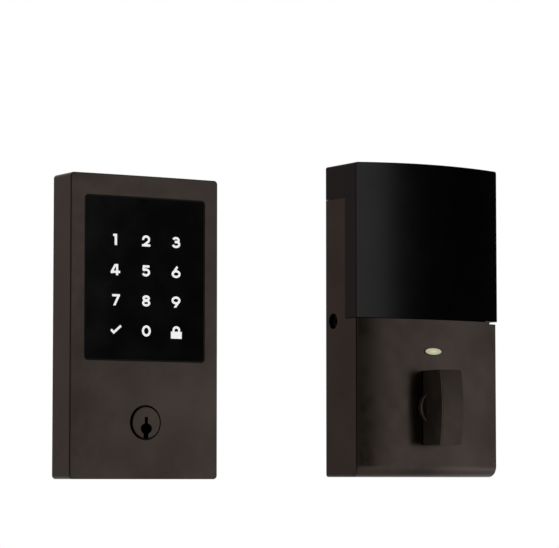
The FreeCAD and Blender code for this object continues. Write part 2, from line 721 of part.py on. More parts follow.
def battery_cells():
    cells = []
    low = HOLDER_Z[0] + HOLDER_WALL + CONTACT_T
    high = HOLDER_Z[1] - HOLDER_WALL - CONTACT_T
    for index, x in enumerate(cell_centres()):
        if index % 2 == 0:
            body = rod_z(CELL_R, high - CELL_L, high - CELL_NUB, x, CELL_Y)
            nub = rod_z(CELL_NUB_R, high - CELL_NUB, high, x, CELL_Y)
        else:
            body = rod_z(CELL_R, low + CELL_NUB, low + CELL_L, x, CELL_Y)
            nub = rod_z(CELL_NUB_R, low, low + CELL_NUB, x, CELL_Y)
        rims = [e for e in body.Edges if e.Curve.TypeId == "Part::GeomCircle"]
        cells.append(fuse([body.makeFillet(0.5, rims), nub]))
    return Part.makeCompound(cells)


def cell_contacts():
    """Plated strips at both ends, in pairs, joining the four cells in series."""
    xs = cell_centres()
    low = HOLDER_Z[0] + HOLDER_WALL
    high = HOLDER_Z[1] - HOLDER_WALL - CONTACT_T
    spans = [(xs[0], xs[1], high), (xs[2], xs[3], high), (xs[1], xs[2], low)]
    spans += [(xs[0], xs[0], low), (xs[3], xs[3], low)]
    plates = []
    for left, right, z in spans:
        plates.append(box(left - 5.2, right + 5.2, CELL_Y - 3.2, CELL_Y + 5.2, z, z + CONTACT_T))
    return Part.makeCompound(plates)


def cell_springs():
    springs = []
    high = HOLDER_Z[1] - HOLDER_WALL - CONTACT_T
    low = HOLDER_Z[0] + HOLDER_WALL + CONTACT_T
    for index, x in enumerate(cell_centres()):
        free = high - low - CELL_L
        spring = coil(3.2, 0.45, 6, free)
        base = low if index % 2 == 0 else high - free
        spring.translate(V(x, CELL_Y, base))
        springs += spring.Solids
    return Part.makeCompound(springs)


# ---- interior unit: electronics ----------------------------------------------------
def board_screw_points():
    return [(-26.5, 82.0), (26.0, 82.0), (-26.5, 128.5), (26.0, 128.5)]


def main_board():
    y0, y1 = BOARD_Y
    board = fuse([
        slab(-30.0, 30.0, 60.0, 132.5, y0, y1, 1.0),
        box(-3.5, 10.0, y0, y1, 51.0, 61.0),
        box(29.0, 35.0, y0, y1, 82.0, 102.0),
    ])
    return cut(board, [rod(0.9, -6.0, -3.0, x, z) for x, z in board_screw_points()])


def board_spacers():
    return Part.makeCompound([tube(2.2, 0.9, DECK_Y[1], BOARD_Y[0], x, z) for x, z in board_screw_points()])


def board_screws():
    screws = []
    for x, z in board_screw_points():
        head = rod(1.8, BOARD_Y[1], BOARD_Y[1] + 1.2, x, z)
        head = head.cut(box(x - 1.3, x + 1.3, -2.8, -2.0, z - 0.25, z + 0.25))
        screws.append(fuse([head, rod(0.9, -10.4, BOARD_Y[1], x, z)]))
    return Part.makeCompound(screws)


def radio_module():
    front = BOARD_Y[0]
    carrier = box(-24.0, -8.0, front - 0.8, front, 100.0, 122.0)
    can = box(-23.0, -9.0, front - 2.8, front - 0.8, 100.8, 115.0)
    return fuse([carrier, can])


def board_headers():
    """Sockets for the battery leads, the motor leads and the exterior cable."""
    front = BOARD_Y[0]
    sockets = []
    for x, z, half in ((-22.0, 74.5, 3.0), (16.0, 64.0, 3.0), (-10.0, 66.5, 6.0)):
        body = box(x - half, x + half, front - 3.4, front, z - 2.4, z + 2.4)
        well = box(x - half + 0.7, x + half - 0.7, front - 4.0, front - 0.8, z - 1.7, z + 1.7)
        sockets.append(body.cut(well))
    return Part.makeCompound(sockets)


def switch_bodies():
    front = BOARD_Y[0]
    return Part.makeCompound([
        box(BUTTON_X - 1.8, BUTTON_X + 1.8, front - 2.0, front, z - 1.8, z + 1.8) for z in BUTTON_Z
    ])


def program_button(z):
    """Push stem through the deck, with a flange behind it and a dished cap."""
    stem = fuse([
        rod(1.8, -14.6, -9.1, BUTTON_X, z),
        rod(2.4, -9.1, -8.4, BUTTON_X, z),
        rod(1.0, -8.4, -7.7, BUTTON_X, z),
    ])
    rim = [e for e in stem.Edges if e.BoundBox.YMax < -14.5]
    return stem.makeFillet(0.4, rim)


def status_led():
    front = BOARD_Y[0]
    return box(-1.5, 1.5, front - 1.4, front, LED_Z - 1.0, LED_Z + 1.0)


def status_lens():
    face = oval(LENS_HALF, -30.8, -28.6, LED_Z)
    rim = [e for e in face.Edges if e.BoundBox.YMax < -30.7]
    face = face.makeFillet(0.25, rim)
    pipe = rod(1.4, -28.6, -7.2, 0.0, LED_Z)
    return fuse([face, pipe])


def status_bezel():
    ring = oval(BEZEL_HALF, -30.7, -28.6, LED_Z)
    return ring.cut(oval(LENS_HALF, -31.0, -28.0, LED_Z))


# ---- interior unit: gears ----------------------------------------------------------
def polar(radius, angle):
    return V(radius * math.cos(angle), radius * math.sin(angle), 0)


def involute(angle):
    return math.tan(angle) - angle


def gear(teeth, module, y_span, phase):
    """Spur gear on the Y axis with a tooth centred on the angle phase from +X to +Z."""
    pitch_r = teeth * module / 2
    base_r = pitch_r * math.cos(PRESSURE_ANGLE)
    tip_r = pitch_r + ADDENDUM * module
    root_r = pitch_r - DEDENDUM * module
    half_tooth = math.pi / (2 * teeth) - BACKLASH / (2 * pitch_r)
    start_r = max(base_r, root_r)

    def flank(radius):
        slope = math.acos(min(1.0, base_r / radius))
        return half_tooth + involute(PRESSURE_ANGLE) - involute(slope)

    radii = (start_r, (start_r + tip_r) / 2, tip_r)
    edges = []
    for i in range(teeth):
        mid = phase + 2 * math.pi * i / teeth
        rise = [polar(r, mid - flank(r)) for r in radii]
        fall = [polar(r, mid + flank(r)) for r in reversed(radii)]
        gap_start = mid + flank(start_r)
        gap_end = mid + 2 * math.pi / teeth - flank(start_r)
        edges.append(Part.Arc(*rise).toShape())
        edges.append(Part.Arc(rise[-1], polar(tip_r, mid), fall[0]).toShape())
        edges.append(Part.Arc(*fall).toShape())
        if start_r > root_r:
            edges.append(Part.makeLine(fall[-1], polar(root_r, gap_start)))
        root_mid = polar(root_r, (gap_start + gap_end) / 2)
        edges.append(Part.Arc(polar(root_r, gap_start), root_mid, polar(root_r, gap_end)).toShape())
        if start_r > root_r:
            edges.append(Part.makeLine(polar(root_r, gap_end), polar(start_r, gap_end)))
    face = Part.Face(Part.Wire(edges))
    wheel = face.extrude(V(0, 0, y_span[1] - y_span[0]))
    wheel.rotate(V(0, 0, 0), X_AXIS, 90)
    wheel.translate(V(0, y_span[1], 0))
    return wheel


def gear_centres():
    """Centres of the hub, the two compound wheels and the motor, in X and Z."""
    hub = (0.0, AXIS_Z)
    wheel2 = step_from(hub, MODULE_HUB * (HUB_TEETH + PINION_TEETH) / 2, HUB_TO_WHEEL2)
    wheel1 = step_from(wheel2, MODULE_MIDDLE * (WHEEL_TEETH + PINION_TEETH) / 2, WHEEL2_TO_WHEEL1)
    motor_c = step_from(wheel1, MODULE_MOTOR * (WHEEL_TEETH + PINION_TEETH) / 2, WHEEL1_TO_MOTOR)
    return hub, wheel2, wheel1, motor_c


def step_from(point, distance, angle):
    return point[0] + distance * math.cos(angle), point[1] + distance * math.sin(angle)


def mating_phase(direction):
    """Phase that puts a gap of a pinion on the line back to the gear that drives it."""
    return direction + math.pi + math.pi / PINION_TEETH


def placed(shape, centre):
    shape.translate(V(centre[0], 0, centre[1]))
    return shape


def compound_wheel_1():
    wheel = fuse([
        gear(WHEEL_TEETH, MODULE_MOTOR, LAYER_MOTOR, WHEEL1_TO_MOTOR),
        gear(PINION_TEETH, MODULE_MIDDLE, (-10.2, LAYER_MOTOR[0]), mating_phase(WHEEL2_TO_WHEEL1)),
    ])
    return placed(wheel.cut(rod(AXLE_R + AXLE_FIT, -20.0, 0.0)), gear_centres()[2])


def compound_wheel_2():
    wheel = fuse([
        rod(3.0, LAYER_MIDDLE[1], LAYER_MOTOR[1]),
        gear(WHEEL_TEETH, MODULE_MIDDLE, LAYER_MIDDLE, WHEEL2_TO_WHEEL1),
        gear(PINION_TEETH, MODULE_HUB, (-15.2, LAYER_MIDDLE[0]), mating_phase(HUB_TO_WHEEL2)),
    ])
    return placed(wheel.cut(rod(AXLE_R + AXLE_FIT, -20.0, 0.0)), gear_centres()[1])


def motor_pinion():
    pinion = gear(PINION_TEETH, MODULE_MOTOR, (-6.2, -3.5), mating_phase(WHEEL1_TO_MOTOR))
    return placed(pinion.cut(rod(0.75, -10.0, 0.0)), gear_centres()[3])


def motor_shaft():
    return placed(rod(0.75, -15.0, -3.5), gear_centres()[3])


def motor():
    body = rod(MOTOR_R, MOTOR_Y[0], MOTOR_Y[1])
    body = cut(body, [
        box(-10.0, 10.0, -30.0, 0.0, 5.2, 10.0),
        box(-10.0, 10.0, -30.0, 0.0, -10.0, -5.2),
        rod(0.8, -15.2, -5.0),
    ])
    terminals = [box(x - 0.9, x + 0.9, -23.4, MOTOR_Y[0], -0.3, 0.3) for x in (-3.6, 3.6)]
    return placed(fuse([body] + terminals), gear_centres()[3])


def gear_axles():
    _, wheel2, wheel1, _ = gear_centres()
    return Part.makeCompound([rod(AXLE_R, AXLE_Y[0], AXLE_Y[1], x, z) for x, z in (wheel2, wheel1)])


def spindle_hub():
    """Output wheel with its two journals, the blade bore and the turn-piece socket."""
    wheel = fuse([
        rod(JOURNAL_R, -1.7 - 1.9, -1.7),
        rod(7.0, -15.2, -3.6),
        gear(HUB_TEETH, MODULE_HUB, LAYER_HUB, HUB_TO_WHEEL2),
        rod(JOURNAL_R, -18.0, -15.2),
        rod(5.4, -24.0, -18.0),
    ])
    tools = [
        rod(TURN_SHAFT_R, -14.0, 0.0),
        rod(1.6, -17.0, -13.0),
        rod(TURN_SHAFT_R, -25.0, -16.0),
    ]
    return placed(cut(wheel, tools), gear_centres()[0])


def blade_adapter():
    insert = rod(TURN_SHAFT_R, -11.8, -2.4)
    return placed(insert.cut(box(-1.35, 1.35, -11.0, 0.0, -3.4, 3.4)), gear_centres()[0])


def hub_screw():
    head = rod(2.8, -14.0, -12.0).cut(box(-2.0, 2.0, -12.7, -11.0, -0.4, 0.4))
    return placed(fuse([head, rod(1.6, -24.0, -14.0)]), gear_centres()[0])


def gearbox_base():
    x0, x1, z0, z1 = GEARBOX_OUTLINE
    plate = slab(x0, x1, z0, z1, GEAR_BASE_Y[0], GEAR_BASE_Y[1], 3.0)
    posts = [rod(2.5, GEAR_COVER_Y[1], GEAR_BASE_Y[0], x, z) for x, z in GEARBOX_POSTS]
    seats = [rod(1.7, -3.5, GEAR_BASE_Y[0], x, z) for x, z in gear_centres()[1:3]]
    tools = [rod(JOURNAL_R + RUNNING_FIT, -5.0, 0.0, 0.0, AXIS_Z)]
    tools.append(box(CABLE_X[0], CABLE_X[1] + 1.0, -4.0, 0.0, CABLE_Z[0], z1 + 1.0))
    for x, z in GEARBOX_POSTS:
        tools.append(rod(1.0, -20.0, 0.0, x, z))
        tools.append(rod(2.2, GEAR_BASE_Y[0], 0.0, x, z))
    for x, z in gear_centres()[1:3]:
        tools.append(rod(AXLE_R, -4.0, AXLE_Y[1], x, z))
    return cut(fuse([plate] + posts + seats), tools)


def gearbox_cover():
    """Front plate of the gearbox, with a sleeve that grips the motor."""
    x0, x1, z0, z1 = GEARBOX_OUTLINE
    y0, y1 = GEAR_COVER_Y
    mx, mz = gear_centres()[3]
    plate = slab(x0, x1, z0, z1, y0, y1, 3.0)
    sleeve = rod(MOTOR_R + 1.0, y0 - 3.0, y1, mx, mz)
    tools = [
        placed(rod(MOTOR_R, -30.0, 0.0).cut(fuse([
            box(-10.0, 10.0, -31.0, 1.0, 5.2, 10.0),
            box(-10.0, 10.0, -31.0, 1.0, -10.0, -5.2),
        ])), (mx, mz)),
        rod(JOURNAL_R + RUNNING_FIT, -20.0, 0.0, 0.0, AXIS_Z),
        slab(-14.0, 12.0, 49.6, 62.0, -20.0, 0.0, 1.0),
    ]
    for x, z in GEARBOX_POSTS:
        tools.append(rod(1.0, -20.0, 0.0, x, z))
    for x, z in gear_centres()[1:3]:
        tools.append(rod(AXLE_R, AXLE_Y[0], 0.0, x, z))
    return cut(fuse([plate, sleeve]), tools)


def gearbox_screws():
    screws = []
    for x, z in GEARBOX_POSTS:
        head = rod(2.2, GEAR_BASE_Y[0], GEAR_BASE_Y[1], x, z)
        head = head.cut(box(x - 1.6, x + 1.6, -2.6, -1.9, z - 0.3, z + 0.3))
        screws.append(fuse([head, rod(1.0, -22.0, GEAR_BASE_Y[0], x, z)]))
    return Part.makeCompound(screws)


def turn_bushing():
    flange = rod(BUSH_R, BUSH_Y[0], BUSH_Y[1])
    rim = [e for e in flange.Edges if e.BoundBox.YMax < BUSH_Y[0] + 0.01]
    bush = fuse([flange.makeFillet(0.3, rim), rod(5.5, BUSH_Y[1], -27.0)])
    return placed(bush.cut(rod(TURN_SHAFT_R + RUNNING_FIT, -40.0, 0.0)), gear_centres()[0])


def turn_piece():
    """Upright paddle with a bowed front, on a round collar and shaft."""
    half_w, half_h = TURN_W / 2, TURN_H / 2
    front, rear = TURN_Y
    low_end = V(-half_w, front + TURN_BOW, -half_h)
    top_end = V(-half_w, front + TURN_BOW, half_h)
    outline = Part.Wire([
        Part.Arc(low_end, V(-half_w, front, 0), top_end).toShape(),
        Part.makeLine(top_end, V(-half_w, rear, half_h)),
        Part.makeLine(V(-half_w, rear, half_h), V(-half_w, rear, -half_h)),
        Part.makeLine(V(-half_w, rear, -half_h), low_end),
    ])
    paddle = Part.Face(outline).extrude(V(TURN_W, 0, 0))
    rim = [e for e in paddle.Edges if e.BoundBox.YMax < front + TURN_BOW + 0.01]
    uprights = [e for e in paddle.Edges if is_along(e, Y_AXIS)]
    paddle = paddle.makeFillet(0.5, rim + uprights)
    collar = rod(COLLAR_R, rear - COLLAR_H, rear)
    crest = [e for e in collar.Edges if e.BoundBox.YMax < rear - COLLAR_H + 0.01]
    body = fuse([paddle, collar.makeFillet(0.8, crest), rod(TURN_SHAFT_R, rear, -16.0)])
    return placed(body.cut(rod(1.6, -24.0, -15.0)), gear_centres()[0])


# ---- export ------------------------------------------------------------------------
def exterior_nodes():
    return {
        "escutcheon": escutcheon(),
        "glass_gasket": glass_gasket(),
        "touch_glass": touch_glass(),
        "key_legends": legends(),
        "light_diffuser": light_diffuser(),
        "touch_board": touch_board(),
        "touch_board_screws": touch_board_screws(),
        "backlight_leds": backlight_leds(),
        "touch_controller": touch_controller(),
        "beeper": beeper(),
        "ext_back_plate": ext_back_plate(),
        "plate_screws": plate_screws(),
        "mounting_posts": mounting_posts(),
        "door_gasket": door_gasket(),
        "ext_cable_socket": ext_cable_socket(),
        "cylinder_shell": cylinder_shell(),
        "pin_chamber_cover": pin_chamber_cover(),
        "key_plug": key_plug(),
        "key_pins": key_pins(),
        "driver_pins": driver_pins(),
        "pin_springs": pin_springs(),
        "plug_clip": plug_clip(),
        "torque_blade": torque_blade(),
    }


def interior_nodes():
    return {
        "housing": housing(),
        "battery_cover": battery_cover(),
        "mounting_plate": mounting_plate(),
        "side_screws": side_screws(),
        "battery_holder": battery_holder(),
        "battery_cells": battery_cells(),
        "cell_contacts": cell_contacts(),
        "cell_springs": cell_springs(),
        "main_board": main_board(),
        "board_spacers": board_spacers(),
        "board_screws": board_screws(),
        "radio_module": radio_module(),
        "board_headers": board_headers(),
        "switch_bodies": switch_bodies(),
        "program_button_a": program_button(BUTTON_Z[0]),
        "program_button_b": program_button(BUTTON_Z[1]),
        "status_led": status_led(),
        "status_lens": status_lens(),
        "status_bezel": status_bezel(),
        "gearbox_base": gearbox_base(),
        "gearbox_cover": gearbox_cover(),
        "gearbox_screws": gearbox_screws(),
        "gear_axles": gear_axles(),
        "motor": motor(),
        "motor_shaft": motor_shaft(),
        "motor_pinion": motor_pinion(),
        "compound_wheel_1": compound_wheel_1(),
        "compound_wheel_2": compound_wheel_2(),
        "spindle_hub": spindle_hub(),
        "blade_adapter": blade_adapter(),
        "hub_screw": hub_screw(),
        "turn_bushing": turn_bushing(),
        "turn_piece": turn_piece(),
    }


def main():
    os.makedirs("parts", exist_ok=True)
    nodes = exterior_nodes()
    for name, shape in interior_nodes().items():
        shape.translate(V(INT_X, 0, INT_Z))
        nodes[name] = shape
    for name, shape in nodes.items():
        print(name, "solids", len(shape.Solids), "valid", shape.isValid(), "volume", round(shape.Volume, 2))
        shape.exportStep("parts/" + name + ".step")


main()
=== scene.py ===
import math

import bpy
import numpy as np
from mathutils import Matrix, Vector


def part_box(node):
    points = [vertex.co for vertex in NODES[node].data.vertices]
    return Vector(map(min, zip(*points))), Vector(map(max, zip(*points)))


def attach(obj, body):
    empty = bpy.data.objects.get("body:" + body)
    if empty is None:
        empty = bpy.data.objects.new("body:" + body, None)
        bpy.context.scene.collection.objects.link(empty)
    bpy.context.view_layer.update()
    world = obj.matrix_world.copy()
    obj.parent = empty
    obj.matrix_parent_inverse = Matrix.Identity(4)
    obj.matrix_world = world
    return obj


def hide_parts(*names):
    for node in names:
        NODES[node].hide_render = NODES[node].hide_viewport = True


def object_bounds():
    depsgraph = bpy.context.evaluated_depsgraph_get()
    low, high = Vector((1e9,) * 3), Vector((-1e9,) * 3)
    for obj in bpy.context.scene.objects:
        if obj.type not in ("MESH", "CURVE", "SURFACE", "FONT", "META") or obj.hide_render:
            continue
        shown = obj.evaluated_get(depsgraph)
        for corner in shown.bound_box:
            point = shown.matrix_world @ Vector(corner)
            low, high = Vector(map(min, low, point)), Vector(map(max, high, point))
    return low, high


# Looks of the keypad smart lock, in metres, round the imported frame: +Z up, fronts facing -Y.

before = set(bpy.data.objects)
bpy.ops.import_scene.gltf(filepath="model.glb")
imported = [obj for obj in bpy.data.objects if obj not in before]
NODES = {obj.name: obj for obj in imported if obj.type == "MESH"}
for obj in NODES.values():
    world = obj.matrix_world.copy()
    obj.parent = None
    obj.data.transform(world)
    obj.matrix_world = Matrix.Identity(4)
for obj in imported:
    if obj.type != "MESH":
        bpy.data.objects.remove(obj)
cad_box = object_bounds()

# ---- view, stage and light ---------------------------------------------------------
CAMERA_AT = (-0.54696, -1.03393, -0.02536)
CAMERA_TURN = math.radians(31.114)
CAMERA_TILT = math.radians(4.392)
LENS_MM = 174.92
SENSOR_MM = 36.0
CLIP_NEAR, CLIP_FAR = 0.05, 50.0
FLOOR_DROP = 0.30
FLOOR_SIDE = 4.0

# ---- bronze tones ------------------------------------------------------------------
BRONZE_DARK = (0.034, 0.0265, 0.0225)
BRONZE_MID = (0.043, 0.0345, 0.0300)
BRONZE_WARM = (0.052, 0.0400, 0.0335)


# ---- sizes that the finishes follow ------------------------------------------------
TRACK_CELLS = 170.0           # board cells per metre
TRACK_STEPS = 5.0             # tracks inside one cell
TRACK_SHARE = 0.55            # where in a step the track starts
# The status lens shines with painted glow, brightest in its pale oval, though the status LED behind it
# is not lit; the next lines give the oval's size and the glow's strength.
LENS_GLOW_W = 0.0043          # half width and half height of the lens's pale oval
LENS_GLOW_H = 0.0015
LENS_PAINTED_GLOW = 0.42
# Strength of the key legends' painted glow: they emit light, though the backlight LEDs behind them are
# not lit.
LEGEND_PAINTED_GLOW = 0.40


# ---- node helpers ------------------------------------------------------------------
class Finish:
    """One procedural material: a Principled shader fed by patterns in object coordinates."""

    def __init__(self, name, **sockets):
        self.material = bpy.data.materials.new(name)
        self.material.use_nodes = True
        self.tree = self.material.node_tree
        self.shader = self.tree.nodes["Principled BSDF"]
        self.place = self.node("ShaderNodeTexCoord").outputs["Object"]
        for key, value in sockets.items():
            self.shader.inputs[key.replace("_", " ")].default_value = value

    def node(self, kind, **settings):
        made = self.tree.nodes.new(kind)
        for key, value in settings.items():
            setattr(made, key, value)
        return made

    def link(self, source, target):
        self.tree.links.new(source, target)

    def mapped(self, scale, shift=(0, 0, 0)):
        mapping = self.node("ShaderNodeMapping")
        mapping.inputs["Scale"].default_value = scale
        mapping.inputs["Location"].default_value = shift
        self.link(self.place, mapping.inputs["Vector"])
        return mapping.outputs["Vector"]

    def noise(self, scale, detail=3.0, rough=0.5, where=None):
        made = self.node("ShaderNodeTexNoise")
        made.inputs["Scale"].default_value = scale
        made.inputs["Detail"].default_value = detail
        made.inputs["Roughness"].default_value = rough
        self.link(where or self.place, made.inputs["Vector"])
        return made.outputs["Fac"]

    def square_cells(self, scale):
        made = self.node("ShaderNodeTexVoronoi", distance="CHEBYCHEV")
        made.inputs["Scale"].default_value = scale
        self.link(self.place, made.inputs["Vector"])
        return made.outputs["Distance"]

    def ramp(self, source, stops):
        made = self.node("ShaderNodeValToRGB")
        while len(made.color_ramp.elements) < len(stops):
            made.color_ramp.elements.new(0.5)
        for element, (at, colour) in zip(made.color_ramp.elements, stops):
            element.position = at
            element.color = (*colour, 1.0)
        self.link(source, made.inputs["Fac"])
        return made.outputs["Color"]

    def spread(self, source, low, high, start=0.3, end=0.7):
        made = self.node("ShaderNodeMapRange", interpolation_type="SMOOTHSTEP")
        made.inputs["From Min"].default_value = start
        made.inputs["From Max"].default_value = end
        made.inputs["To Min"].default_value = low
        made.inputs["To Max"].default_value = high
        self.link(source, made.inputs["Value"])
        return made.outputs["Result"]

    def math(self, operation, a, b=0.5):
        made = self.node("ShaderNodeMath", operation=operation)
        for socket, value in zip(made.inputs, (a, b)):
            if isinstance(value, (int, float)):
                socket.default_value = value
            else:
                self.link(value, socket)
        return made.outputs["Value"]

    def colour(self, source):
        self.link(source, self.shader.inputs["Base Color"])

    def roughness(self, source):
        self.link(source, self.shader.inputs["Roughness"])

    def relief(self, source, depth, strength=1.0):
        bump = self.node("ShaderNodeBump")
        bump.inputs["Strength"].default_value = strength
        bump.inputs["Distance"].default_value = depth
        self.link(source, bump.inputs["Height"])
        self.link(bump.outputs["Normal"], self.shader.inputs["Normal"])


# ---- finishes ----------------------------------------------------------------------
def rubbed_bronze(name, low, high):
    """Dark bronze plating: cloudy tones about 20 mm across under a fine satin grain."""
    f = Finish(name, Metallic=1.0)
    clouds = f.noise(42.0, 4.0, 0.55)
    f.colour(f.ramp(clouds, [(0.30, BRONZE_DARK), (0.52, BRONZE_MID), (0.74, BRONZE_WARM)]))
    f.roughness(f.spread(f.noise(160.0, 3.0), low, high))
    f.relief(f.noise(2600.0, 2.0), 0.00002, 0.5)
    return f.material


def gloss_black():
    """Moulded gloss black cover with the faintest orange peel."""
    f = Finish("gloss_black", Specular_IOR_Level=0.125)
    f.colour(f.ramp(f.noise(90.0), [(0.35, (0.0001, 0.0001, 0.0001)), (0.7, (0.0003, 0.0003, 0.0003))]))
    f.roughness(f.spread(f.noise(60.0, 2.0), 0.25, 0.28))
    f.relief(f.noise(420.0, 1.0), 0.00001, 0.15)
    return f.material


def backed_glass():
    """Black-backed touch glass, polished, with faint smudges in its gloss."""
    f = Finish("backed_glass", Specular_IOR_Level=0.2)
    f.colour(f.ramp(f.noise(35.0), [(0.3, (0.0012, 0.0012, 0.0012)), (0.7, (0.0022, 0.0021, 0.0022))]))
    f.roughness(f.spread(f.noise(70.0, 5.0, 0.6), 0.20, 0.27))
    return f.material


def legend_paint_and_glow():
    f = Finish("legend_paint_and_glow", Specular_IOR_Level=0.2)
    f.colour(f.ramp(f.noise(900.0), [(0.3, (0.80, 0.80, 0.80)), (0.7, (0.90, 0.90, 0.90))]))
    f.roughness(f.spread(f.noise(700.0), 0.5, 0.62))
    # Painted glow: the white legends emit light of their own, though no lamp behind them is lit.
    f.shader.inputs["Emission Color"].default_value = (1.0, 1.0, 1.0, 1.0)
    f.shader.inputs["Emission Strength"].default_value = LEGEND_PAINTED_GLOW
    return f.material


def black_rubber():
    f = Finish("black_rubber", Specular_IOR_Level=0.15)
    f.colour(f.ramp(f.noise(500.0), [(0.3, (0.0015, 0.0015, 0.0015)), (0.7, (0.004, 0.004, 0.004))]))
    f.roughness(f.spread(f.noise(800.0), 0.6, 0.75))
    f.relief(f.noise(3000.0), 0.00003, 0.5)
    return f.material


def moulded(name, dark, light, grain=1800.0, low=0.42, high=0.55):
    """Moulded plastic: two near tones, and the fine grain of a spark-eroded mould."""
    f = Finish(name, Specular_IOR_Level=0.4)
    f.colour(f.ramp(f.noise(240.0), [(0.3, dark), (0.7, light)]))
    f.roughness(f.spread(f.noise(400.0), low, high))
    f.relief(f.noise(grain, 2.0), 0.00004, 0.5)
    return f.material


def plated_steel():
    """Zinc-plated sheet: rolled streaks along Z and soft bluish-yellow clouds."""
    f = Finish("plated_steel", Metallic=1.0)
    streaks = f.noise(1.0, 3.0, 0.6, f.mapped(scale=(1800.0, 1800.0, 60.0)))
    clouds = f.noise(60.0, 3.0)
    tones = [(0.3, (0.44, 0.45, 0.46)), (0.55, (0.56, 0.56, 0.55)), (0.75, (0.63, 0.61, 0.54))]
    f.colour(f.ramp(clouds, tones))
    f.roughness(f.spread(streaks, 0.26, 0.44))
    f.relief(streaks, 0.00001, 0.4)
    return f.material


def turned(name, dark, light):
    """Metal turned on a lathe: grooves in rings about each part, seen as fine bands along Y."""
    f = Finish(name, Metallic=1.0)
    rings = f.noise(1.0, 2.0, 0.5, f.mapped(scale=(90.0, 5200.0, 90.0)))
    f.colour(f.ramp(f.noise(180.0), [(0.3, dark), (0.7, light)]))
    f.roughness(f.spread(rings, 0.24, 0.42))
    f.relief(rings, 0.00001, 0.5)
    return f.material


def blackened(name, dark, light):
    """Chemically blackened metal, dull, with worn lighter flecks."""
    f = Finish(name, Metallic=0.8, Specular_IOR_Level=0.3)
    f.colour(f.ramp(f.noise(700.0, 4.0), [(0.4, dark), (0.75, light)]))
    f.roughness(f.spread(f.noise(500.0), 0.42, 0.58))
    return f.material


def cast_zinc():
    f = Finish("cast_zinc", Metallic=1.0)
    f.colour(f.ramp(f.noise(150.0, 4.0), [(0.3, (0.36, 0.36, 0.37)), (0.7, (0.50, 0.50, 0.49))]))
    f.roughness(f.spread(f.noise(600.0), 0.40, 0.58))
    f.relief(f.noise(1500.0, 3.0), 0.00004, 0.6)
    return f.material


def solder_mask():
    """Green solder mask over copper: square-cornered tracks show as a lighter green."""
    f = Finish("solder_mask", Coat_Weight=0.4, Coat_Roughness=0.2)
    steps = f.math("MULTIPLY", f.square_cells(TRACK_CELLS), TRACK_STEPS)
    tracks = f.math("GREATER_THAN", f.math("FRACT", steps), TRACK_SHARE)
    f.colour(f.ramp(tracks, [(0.0, (0.006, 0.060, 0.022)), (1.0, (0.014, 0.105, 0.040))]))
    f.roughness(f.spread(f.noise(300.0), 0.30, 0.42))
    f.relief(tracks, 0.00003, 0.5)
    return f.material


def acetal():
    f = Finish("acetal", Subsurface_Weight=0.15, Subsurface_Scale=0.001)
    f.colour(f.ramp(f.noise(220.0), [(0.3, (0.66, 0.64, 0.56)), (0.7, (0.76, 0.74, 0.67))]))
    f.roughness(f.spread(f.noise(500.0), 0.35, 0.45))
    f.relief(f.noise(1500.0), 0.00002, 0.4)
    return f.material


def status_painted_glow(centre):
    """Pale green lens: paler in an oval at its middle, where the light pipe ends. It also shines with
    painted glow in these tones, brightest in the oval, though no lamp behind it is lit.
    """
    f = Finish("status_painted_glow", Specular_IOR_Level=0.5, Roughness=0.2)
    scale = (1 / LENS_GLOW_W, 0.0, 1 / LENS_GLOW_H)
    inner = f.mapped(scale=scale, shift=(-centre[0] / LENS_GLOW_W, 0.0, -centre[2] / LENS_GLOW_H))
    length = f.node("ShaderNodeVectorMath", operation="LENGTH")
    f.link(inner, length.inputs[0])
    mottle = f.math("MULTIPLY", f.noise(900.0), 0.5)
    reach = f.math("ADD", length.outputs["Value"], mottle)
    tones = [(0.35, (0.62, 0.64, 0.36)), (0.62, (0.50, 0.54, 0.24)), (0.85, (0.44, 0.46, 0.32))]
    f.colour(f.ramp(reach, tones))
    # Painted glow: the lens emits its own tones, brightest in the oval, with no lamp lit behind it.
    f.link(f.ramp(reach, tones), f.shader.inputs["Emission Color"])
    f.shader.inputs["Emission Strength"].default_value = LENS_PAINTED_GLOW
    return f.material


def phosphor():
    f = Finish("phosphor", Specular_IOR_Level=0.5)
    f.colour(f.ramp(f.noise(1500.0), [(0.3, (0.80, 0.74, 0.38)), (0.7, (0.88, 0.86, 0.66))]))
    f.roughness(f.spread(f.noise(900.0), 0.3, 0.45))
    return f.material


def cell_sleeve():
    """Battery sleeve: a dark wrap with a copper band, told apart by the piece's own attribute."""
    f = Finish("cell_sleeve")
    band = f.node("ShaderNodeAttribute", attribute_name="band").outputs["Fac"]
    tones = [(0.0, (0.55, 0.55, 0.54)), (0.25, (0.012, 0.012, 0.014)), (0.75, (0.42, 0.17, 0.05))]
    picked = f.ramp(band, tones)
    picked.node.color_ramp.interpolation = "CONSTANT"
    f.colour(picked)
    f.roughness(f.spread(f.noise(300.0), 0.24, 0.34))
    f.link(f.spread(band, 0.0, 1.0, 0.9, 1.0), f.shader.inputs["Metallic"])
    f.relief(f.noise(260.0), 0.00002, 0.3)
    return f.material


# ---- surfaces ----------------------------------------------------------------------
def ring_mesh(name, points, material, caps=False):
    """Piece from rows of closed rings, shape (rows, columns, 3); caps close the first and last."""
    rows, columns = points.shape[:2]
    index = np.arange(rows * columns).reshape(rows, columns)
    index = np.hstack([index, index[:, :1]])
    quads = np.stack([index[:-1, :-1], index[:-1, 1:], index[1:, 1:], index[1:, :-1]], axis=-1)
    faces = quads.reshape(-1, 4).tolist()
    if caps:
        faces.append(np.arange(columns)[::-1].tolist())
        faces.append((np.arange(columns) + (rows - 1) * columns).tolist())
    return faces_mesh(name, points.reshape(-1, 3), faces, material)


def faces_mesh(name, points, faces, material):
    mesh = bpy.data.meshes.new(name)
    mesh.from_pydata(points.tolist(), [], faces)
    mesh.update()
    mesh.shade_smooth()
    made = bpy.data.objects.new(name, mesh)
    bpy.context.scene.collection.objects.link(made)
    mesh.materials.append(material)
    return made


